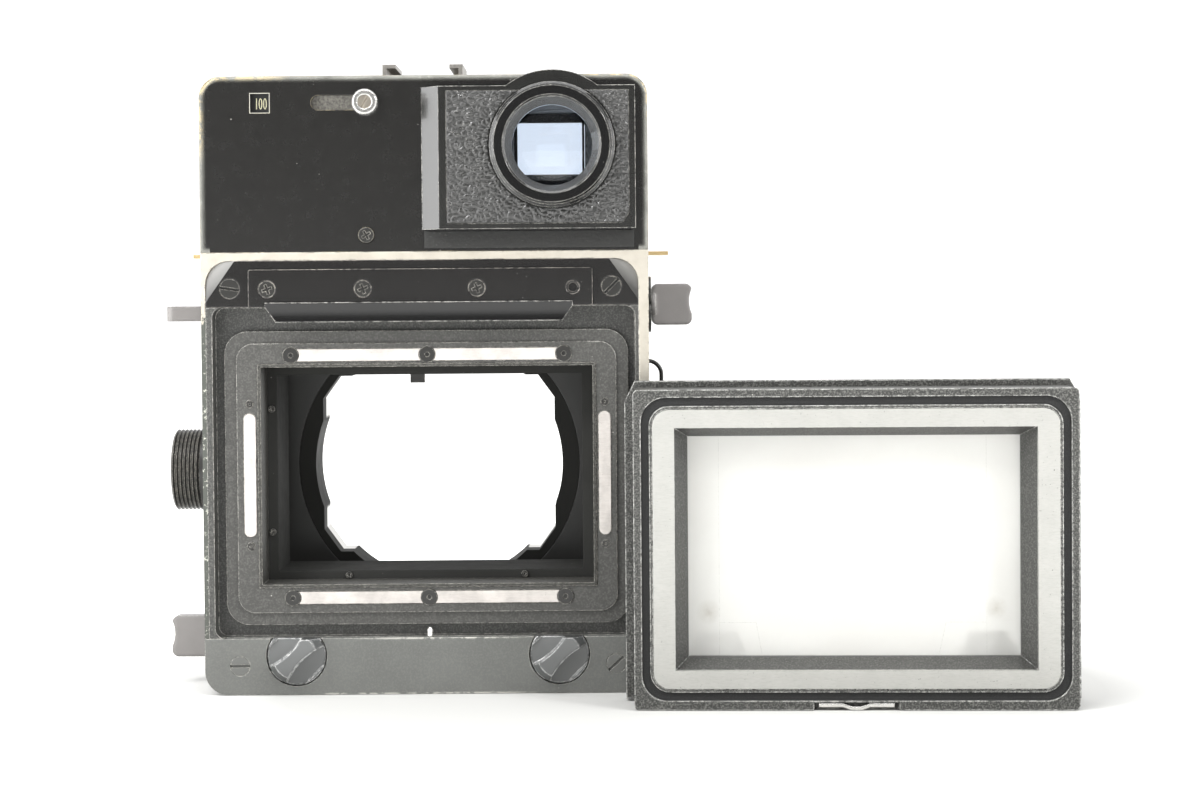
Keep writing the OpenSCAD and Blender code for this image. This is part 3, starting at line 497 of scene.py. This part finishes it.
def felt(name):
    g = Graph(name, Roughness=0.95, Sheen_Weight=0.2, Sheen_Roughness=0.5)
    fluff = g.noise(0.18, 4, 0.7)
    g.send(g.mix(g.remap(fluff, 0.3, 0.7), (0.008, 0.008, 0.008), (0.035, 0.035, 0.035)), "Base Color")
    g.bump(fluff, 0.8, 0.12)
    return g.material


def floor_white_with_painted_shade():
    g = Graph("floor_white_with_painted_shade", Roughness=0.8)
    middle = Vector((0.03, BACK_Y + 0.01, 0))
    # Painted shade: round the body the floor is darker and has no glow, so its shadow there shows; further out
    # it glows so the far floor reads white.
    painted_shade_zone = g.most(g.near(middle, 170), g.near(middle + Vector((0.08, 0, 0)), 150))
    painted_shade_zone = g.remap(g.math("ADD", painted_shade_zone, g.remap(g.noise(60, 3), 0, 1, -0.02, 0.02)), 0.0, 0.6)
    g.send(g.mix(painted_shade_zone, (0.90, 0.90, 0.89), (0.54, 0.54, 0.525)), "Base Color")
    g.send(g.mix(painted_shade_zone, (0.60, 0.60, 0.59), (0.0, 0.0, 0.0)), "Emission Color")
    g.shader.inputs["Emission Strength"].default_value = 1.0
    return g.material


def ink(name, colour, rough=0.5):
    g = Graph(name)
    g.send(g.mix(g.remap(g.noise(0.4, 3), 0.4, 0.7), colour, tuple(0.75 * c for c in colour)), "Base Color")
    g.send(g.remap(g.noise(0.8, 3), 0.3, 0.7, rough * 0.9, rough * 1.1), "Roughness")
    return g.material


upper_left = Vector((BODY_LEFT + 3 * MM, BACK_Y, HOUSING_TOP - 2 * MM))
upper_right = Vector((BODY_RIGHT - 4 * MM, BACK_Y, HOUSING_TOP))
window = Vector((-40.8 * MM, BACK_Y, 148.3 * MM))
mount = centre("mount_flange")
glass = centre("ground_glass")
GLASS_PLACE = Matrix.Translation(glass) @ Matrix.Rotation(SCREEN_YAW, 4, "Z")
GLASS_SPOTS = [(GLASS_PLACE @ Vector((u * MM, -0.8 * MM, v * MM)), reach)
               for u, v, reach in ((-35.2, -16.1, 3.2), (34.2, -15.2, 3.0))]

LOOKS = {
    "casting": paint("casting_enamel", (0.042, 0.042, 0.039), 0.42, wear=0.8, grain=0.22, specks=0.8,
                     tone=chamber_dark, calm=outside, edge=0.45, sandy=0.25),
    # The housing's tone paints a highlight strip along its rounded outer edge.
    "housing": paint("housing_enamel", (0.007, 0.0066, 0.0058), 0.26, wear=0.45, bare=BRASS, coat=0.4,
                     hot=((upper_left, 20, 2.0), (upper_right, 13, 1.0)), mask=housing_rim, specks=0.9,
                     edge=0.28, tone=painted_rim_highlight),
    "gloss": paint("gloss_enamel", (0.009, 0.009, 0.008), 0.20, wear=0.8, coat=0.75, specks=0.3,
                   bare=(0.72, 0.70, 0.64), level=0.7),
    "lip": paint("lip_enamel", (0.005, 0.005, 0.005), 0.24, wear=1.0, coat=0.2, bare=(0.75, 0.73, 0.68),
                 edge=0.5, rounding=0.6, level=0.35),
    # The plate's tone paints highlights on the facets that slope to its corners.
    "plate": paint("plate_enamel", (0.008, 0.0075, 0.007), 0.18, wear=0.7, bare=(0.5, 0.46, 0.40), coat=0.5,
                   tone=painted_corner_highlight, edge=0.42, rounding=0.5),
    "ring": paint("ring_enamel", (0.006, 0.006, 0.006), 0.08, wear=0.9, coat=0.5, specks=0.2),
    "cone": paint("cone_enamel", (0.10, 0.103, 0.106), 0.20, wear=0.3, coat=1.0),
    "panel": paint("panel_paint", (0.124, 0.127, 0.119), 0.46, wear=0.8, grain=0.3, chips=0.05, edge=0.32,
                   specks=0.6, sandy=0.15, hot=((Vector((0.003, BACK_Y, 0.0003)), 26, 0.9),
                                    (Vector((-0.02, BACK_Y, 0.0003)), 8, 0.9))),
    # The lock knobs' near-white rubbed edges are partly real wear and partly painted highlight lines along the
    # finger bars.
    "knob": paint("knob_enamel_wear_and_glints", (0.088, 0.092, 0.092), 0.13, wear=1.0, coat=1.0, bare=(0.95, 0.95, 0.93),
                  rounding=1.1, edge=0.7),
    "flat": paint("flat_black", (0.032, 0.031, 0.027), 0.55, wear=0.9, bare=(0.55, 0.53, 0.47), grain=0.35,
                  level=0.4, edge=0.3, specks=1.0, sandy=0.25),
    "baffle": paint("baffle_black", (0.034, 0.034, 0.032), 0.8, wear=0.0, level=0.08, specks=0.3,
                    calm=unworn),
    "seal": paint("seal_enamel", (0.052, 0.051, 0.047), 0.45, wear=0.85, grain=0.25, specks=1.0, sandy=0.2),
    "slide": paint("slide_black", (0.012, 0.012, 0.012), 0.45, wear=0.5, tone=slide_tone),
    "screw": paint("screw_black", (0.016, 0.0155, 0.014), 0.30, wear=1.0, bare=(0.55, 0.53, 0.47),
                   rounding=0.25, edge=0.30, tone=screw_tone),
    "screen": paint("screen_enamel", (0.026, 0.026, 0.024), 0.46, wear=1.0, grain=0.4, chips=0.6,
                    bare=(0.80, 0.80, 0.76), specks=1.0, edge=0.6, sandy=0.45),
    "bevel": paint("bevel_black", (0.034, 0.034, 0.032), 0.42, wear=0.9, bare=(0.66, 0.66, 0.64), grain=0.35,
                   chips=0.35, specks=0.9, sandy=0.3),
    "lug": paint("lug_enamel", (0.21, 0.198, 0.190), 0.34, wear=0.5, rounding=1.4, coat=0.3),
    "boss": paint("boss_black", (0.030, 0.029, 0.027), 0.34, wear=1.0, bare=(0.45, 0.42, 0.36)),
    "shoe": metal("shoe_metal", (0.42, 0.40, 0.37), 0.38, scratch=0.8),
    "rim": rim_metal("rim_chrome"),
    "mount": mount_metal("mount_chrome", mount.x, mount.z, 33.5, BACK_Y / MM + 53.8),
    "chrome": metal("satin_chrome", (0.80, 0.79, 0.76), 0.22, rounding=0.5),
    "dull": metal("dull_brass", (0.44, 0.40, 0.34), 0.30, rounding=0.3, scratch=0.9),
    "steel": metal("bright_steel", (0.62, 0.62, 0.61), 0.28),
    "pad": metal("pad_metal", (0.74, 0.70, 0.665), 0.50, (0.12, 1, 1), 0.25, 0.6),
    "aluminium": metal("bare_aluminium", (0.50, 0.497, 0.472), 0.48, (0.15, 1, 1), 0.06, 1.3),
    "brass": metal("brass", (0.72, 0.54, 0.28), 0.35),
    "leather": leatherette("leatherette"),
    "rear leather": leatherette("rear_leatherette", BLOCK_FOOT / MM),
    "felt": felt("seal_felt"),
    "glass": clear_glass("coated_glass", (0.93, 0.96, 1.0)),
    "lens": clear_glass("eyepiece_glass", (0.86, 0.92, 1.0), 1.04, 0.8),
    "frosted": ground_glass("ground_glass_look"),
    "mirror": metal("mirror_silver", (0.90, 0.91, 0.92), 0.04, None, 0.02, 0.05),
    "number": ink("number_ink", (0.80, 0.77, 0.52)),
    "outline": ink("outline_paint", (0.46, 0.45, 0.39)),
    "mark": ink("glass_mark", (0.80, 0.80, 0.775)),
}

NODE_LOOKS = {
    "body_casting": "casting", "tripod_bush": "steel", "bottom_panel": "panel",
    "slotted_screws": "screw", "rear_rim": "rim", "upper_plate": "plate",
    "retainer_plate": "plate", "cross_screws": "screw", "rear_lip": "lip",
    "seal_frame": "seal", "seal_pads": "pad", "pad_studs": "screw",
    "locating_stud": "chrome", "gate_frame": "flat", "chamber_baffle": "baffle",
    "small_screws": "screw", "top_housing": "housing", "accessory_shoe": "shoe",
    "eyepiece_block": "gloss", "finder_leather": "rear leather", "side_leather": "leather",
    "front_leather": "leather", "eyepiece_ring": "ring", "eyepiece_cone": "cone",
    "eyepiece_lens": "lens", "finder_tube": "flat", "beam_splitter": "glass",
    "finder_window": "glass", "frameline_window": "frosted", "rangefinder_window": "glass",
    "finder_base": "brass", "mount_flange": "mount", "breech_retainer": "mount",
    "mount_screws": "steel", "grip_boss": "boss", "lug_flanges": "screw", "side_eyelets": "brass",
    "wire_loop": "screw", "follower_shaft": "steel", "lock_knob_left": "knob",
    "lock_knob_right": "knob", "breech_ring": "boss", "number_slide": "slide",
    "selector_knob": "chrome", "selector_screw": "dull", "follower_lever": "boss",
    "mirror_carrier": "brass", "rangefinder_mirror": "mirror", "strap_lug_upper_left": "lug",
    "strap_lug_upper_right": "lug", "strap_lug_lower_left": "lug", "strap_lug_lower_right": "lug",
    "screen_casting": "screen", "screen_flange": "screen", "screen_seal": "felt",
    "screen_face": "aluminium", "screen_bevel": "bevel", "ground_glass": "frosted",
    "screen_clips": "aluminium", "screen_spring": "chrome",
}


def dress_nodes():
    for name, look in NODE_LOOKS.items():
        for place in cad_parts[name].material_slots:
            place.material = LOOKS[look]


# ---- leatherette with its grain in the mesh ----

GRAIN = 1.5 * MM            # width of one grain
GRAIN_HEIGHT = 0.42 * MM


def grain_height(place):
    """Swollen, slightly drawn-out grains with sharp creases between them, from 0 to 1."""
    drift = noise.noise_vector(place / (2.6 * GRAIN)) * 0.55
    spot = Vector((place.x / GRAIN, place.y / GRAIN, place.z / (0.8 * GRAIN))) + drift
    nearest = noise.voronoi(spot)[0]
    swell = min(1.0, (nearest[1] - nearest[0]) * 2.4)
    fold = 0.5 + 0.5 * noise.noise(place / (1.7 * GRAIN))
    return (0.7 * math.sqrt(swell) + 0.3 * swell) * (0.55 + 0.45 * fold)


def rear_grain(place):
    """The strip under the eyepiece block is pressed flatter than the leatherette on it."""
    return GRAIN_HEIGHT if place.z > BLOCK_FOOT else 0.15 * GRAIN_HEIGHT


def add_leather(node, look, step, outward, height):
    """A finely divided copy of a leatherette sheet with grains raised on its outer side."""
    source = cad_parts[node]
    mesh = source.data.copy()
    mesh.transform(source.matrix_world)
    sheet = bpy.data.objects.new("grained_" + node, mesh)
    bpy.context.collection.objects.link(sheet)
    remesh = sheet.modifiers.new("fine", "REMESH")
    remesh.mode = "VOXEL"
    remesh.voxel_size = step
    fine = bpy.data.meshes.new_from_object(sheet.evaluated_get(bpy.context.evaluated_depsgraph_get()))
    sheet.modifiers.clear()
    sheet.data = fine
    normals = [vertex.normal.copy() for vertex in fine.vertices]
    for vertex, normal in zip(fine.vertices, normals):
        facing = max(0.0, normal.dot(outward))
        if facing > 0.3:
            vertex.co += outward * facing * height(vertex.co) * (grain_height(vertex.co) - 0.5)
    fine.shade_smooth()
    fine.materials.clear()
    fine.materials.append(LOOKS[look])
    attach(sheet, "camera_body")
    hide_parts(node)


# ---- small printed and engraved details ----

def add_piece(name, mesh, place, look, body):
    mesh.materials.clear()
    mesh.materials.append(LOOKS[look])
    piece = bpy.data.objects.new(name, mesh)
    bpy.context.collection.objects.link(piece)
    piece.matrix_world = place
    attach(piece, body)
    return piece


def plate_mesh(name, outlines, thickness):
    """A thin solid made of flat outlines in X and Z, with its front at Y = 0. Millimetres."""
    verts, faces = [], []
    for outline in outlines:
        count = len(outline)
        start = len(verts)
        verts += [(x * MM, 0, z * MM) for x, z in outline]
        verts += [(x * MM, thickness * MM, z * MM) for x, z in outline]
        faces.append(tuple(range(start, start + count)))
        faces.append(tuple(range(start + 2 * count - 1, start + count - 1, -1)))
        for i in range(count):
            j = (i + 1) % count
            faces.append((start + i, start + count + i, start + count + j, start + j))
    mesh = bpy.data.meshes.new(name)
    mesh.from_pydata(verts, [], faces)
    mesh.update()
    return mesh


def rectangle(x0, z0, x1, z1):
    return [(x0, z0), (x1, z0), (x1, z1), (x0, z1)]


def ellipse_ring(cx, cz, rx, rz, width, steps=28):
    """An elliptical outline of the given line width, as short four-sided pieces."""
    pieces = []
    for i in range(steps):
        a, b = (2 * math.pi * k / steps for k in (i, i + 1))
        pieces.append([(cx + (rx - width) * math.cos(a), cz + (rz - width) * math.sin(a)),
                       (cx + rx * math.cos(a), cz + rz * math.sin(a)),
                       (cx + rx * math.cos(b), cz + rz * math.sin(b)),
                       (cx + (rx - width) * math.cos(b), cz + (rz - width) * math.sin(b))])
    return pieces


def digit_outlines(digit, left, width, height, stroke):
    if digit == "0":
        return ellipse_ring(left + width / 2, height / 2, width / 2, height / 2, stroke)
    if digit == "1":
        middle = left + width / 2
        return [rectangle(middle - stroke / 2, 0, middle + stroke / 2, height)]
    # a five: top bar, left stem, bowl
    bowl = [piece for piece in ellipse_ring(left + width / 2, height * 0.32, width / 2, height * 0.32, stroke)
            if not (sum(p[0] for p in piece) / 4 < left + width * 0.35
                    and sum(p[1] for p in piece) / 4 > height * 0.2)]
    return bowl + [rectangle(left, height - stroke, left + width, height),
                   rectangle(left, height * 0.5, left + stroke, height - stroke),
                   rectangle(left, height * 0.52, left + width / 2, height * 0.52 + stroke)]


def add_numbers():
    """The field numbers on the slide: the first shows at rest, the second after the full travel."""
    front = low("number_slide").y - 0.06 * MM
    for text, x in (("100", -40.8), ("150", -30.8)):
        outlines = []
        for i, digit in enumerate(text):
            outlines += digit_outlines(digit, i * 1.12 - 1.62 + (0.12 if digit == "1" else 0), 0.92, 2.8, 0.24)
        mesh = plate_mesh("number_" + text, outlines, 0.06)
        place = Matrix.Translation((x * MM, front, window.z - 1.4 * MM))
        add_piece("number_" + text, mesh, place, "number", "frame_selector")


def add_window_frame():
    """A thin light line round the number window."""
    out, inner = 2.52, 2.38
    outlines = [rectangle(-out, inner, out, out), rectangle(-out, -out, out, -inner),
                rectangle(-out, -inner, -inner, inner), rectangle(inner, -inner, out, inner)]
    place = Matrix.Translation((window.x, low("top_housing").y - 0.02 * MM, window.z))
    add_piece("window_frame", plate_mesh("window_frame", outlines, 0.3), place, "outline", "camera_body")


def stroke(start, end, width):
    """A straight line from one (x, z) to another, as a four-sided outline."""
    along = Vector(end) - Vector(start)
    side = Vector((-along.y, along.x)).normalized() * width / 2
    return [tuple(Vector(p) + side * k) for p, k in ((start, -1), (end, -1), (end, 1), (start, 1))]


def add_glass_marks():
    """Faint format lines on the back of the ground glass, and painted shadow outlines of the holding clips
    that show through it.
    """
    place = GLASS_PLACE @ Matrix.Translation((0, -0.83 * MM, 0))
    half, line = 26.5, 0.10
    outlines = [stroke((u, -half), (u, half), line) for u in (-32.6, 32.0)]
    add_piece("format_lines", plate_mesh("format_lines", outlines, 0.03), place, "mark", "screen_back")
    # Painted shadow: the outlines of the holding clips as they show through the glass.
    outlines = []
    for side, far, top, foot in ((-1, 32.4, 23.7, 22.3), (1, 31.8, 22.2, 20.5)):
        outlines.append(stroke((side * far, -18.7), (side * top, -18.7), 0.14))
        outlines.append(stroke((side * top, -18.7), (side * foot, -half), 0.14))
    add_piece("painted_clip_shadows", plate_mesh("painted_clip_shadows", outlines, 0.03), place, "mark", "screen_back")


# ---- run ----

add_camera()
add_world()
add_softbox("left_softbox", (-0.75, -0.42, 0.26), (0, 0, 0.09), (1.2, 0.7), 3.5)
add_softbox("right_softbox", (0.95, -0.45, 0.30), (0.05, 0, 0.08), (0.9, 0.6), 2.4)
add_softbox("top_softbox", (0.02, -0.36, 0.90), (0.03, 0, 0.08), (1.0, 0.7), 3.4)
add_softbox("left_key", (-0.40, -0.40, 0.60), (0.02, BACK_Y, 0.10), (0.12, 0.12), 52.0)
add_softbox("right_key", (0.50, -0.38, 0.42), (0.02, BACK_Y, 0.10), (0.10, 0.10), 48.0)
add_floor(floor_white_with_painted_shade())
bpy.context.scene.view_settings.view_transform = "Standard"
dress_nodes()
add_leather("finder_leather", "rear leather", 0.2 * MM, Vector((0, -1, 0)), rear_grain)
add_numbers()
add_window_frame()
add_glass_marks()
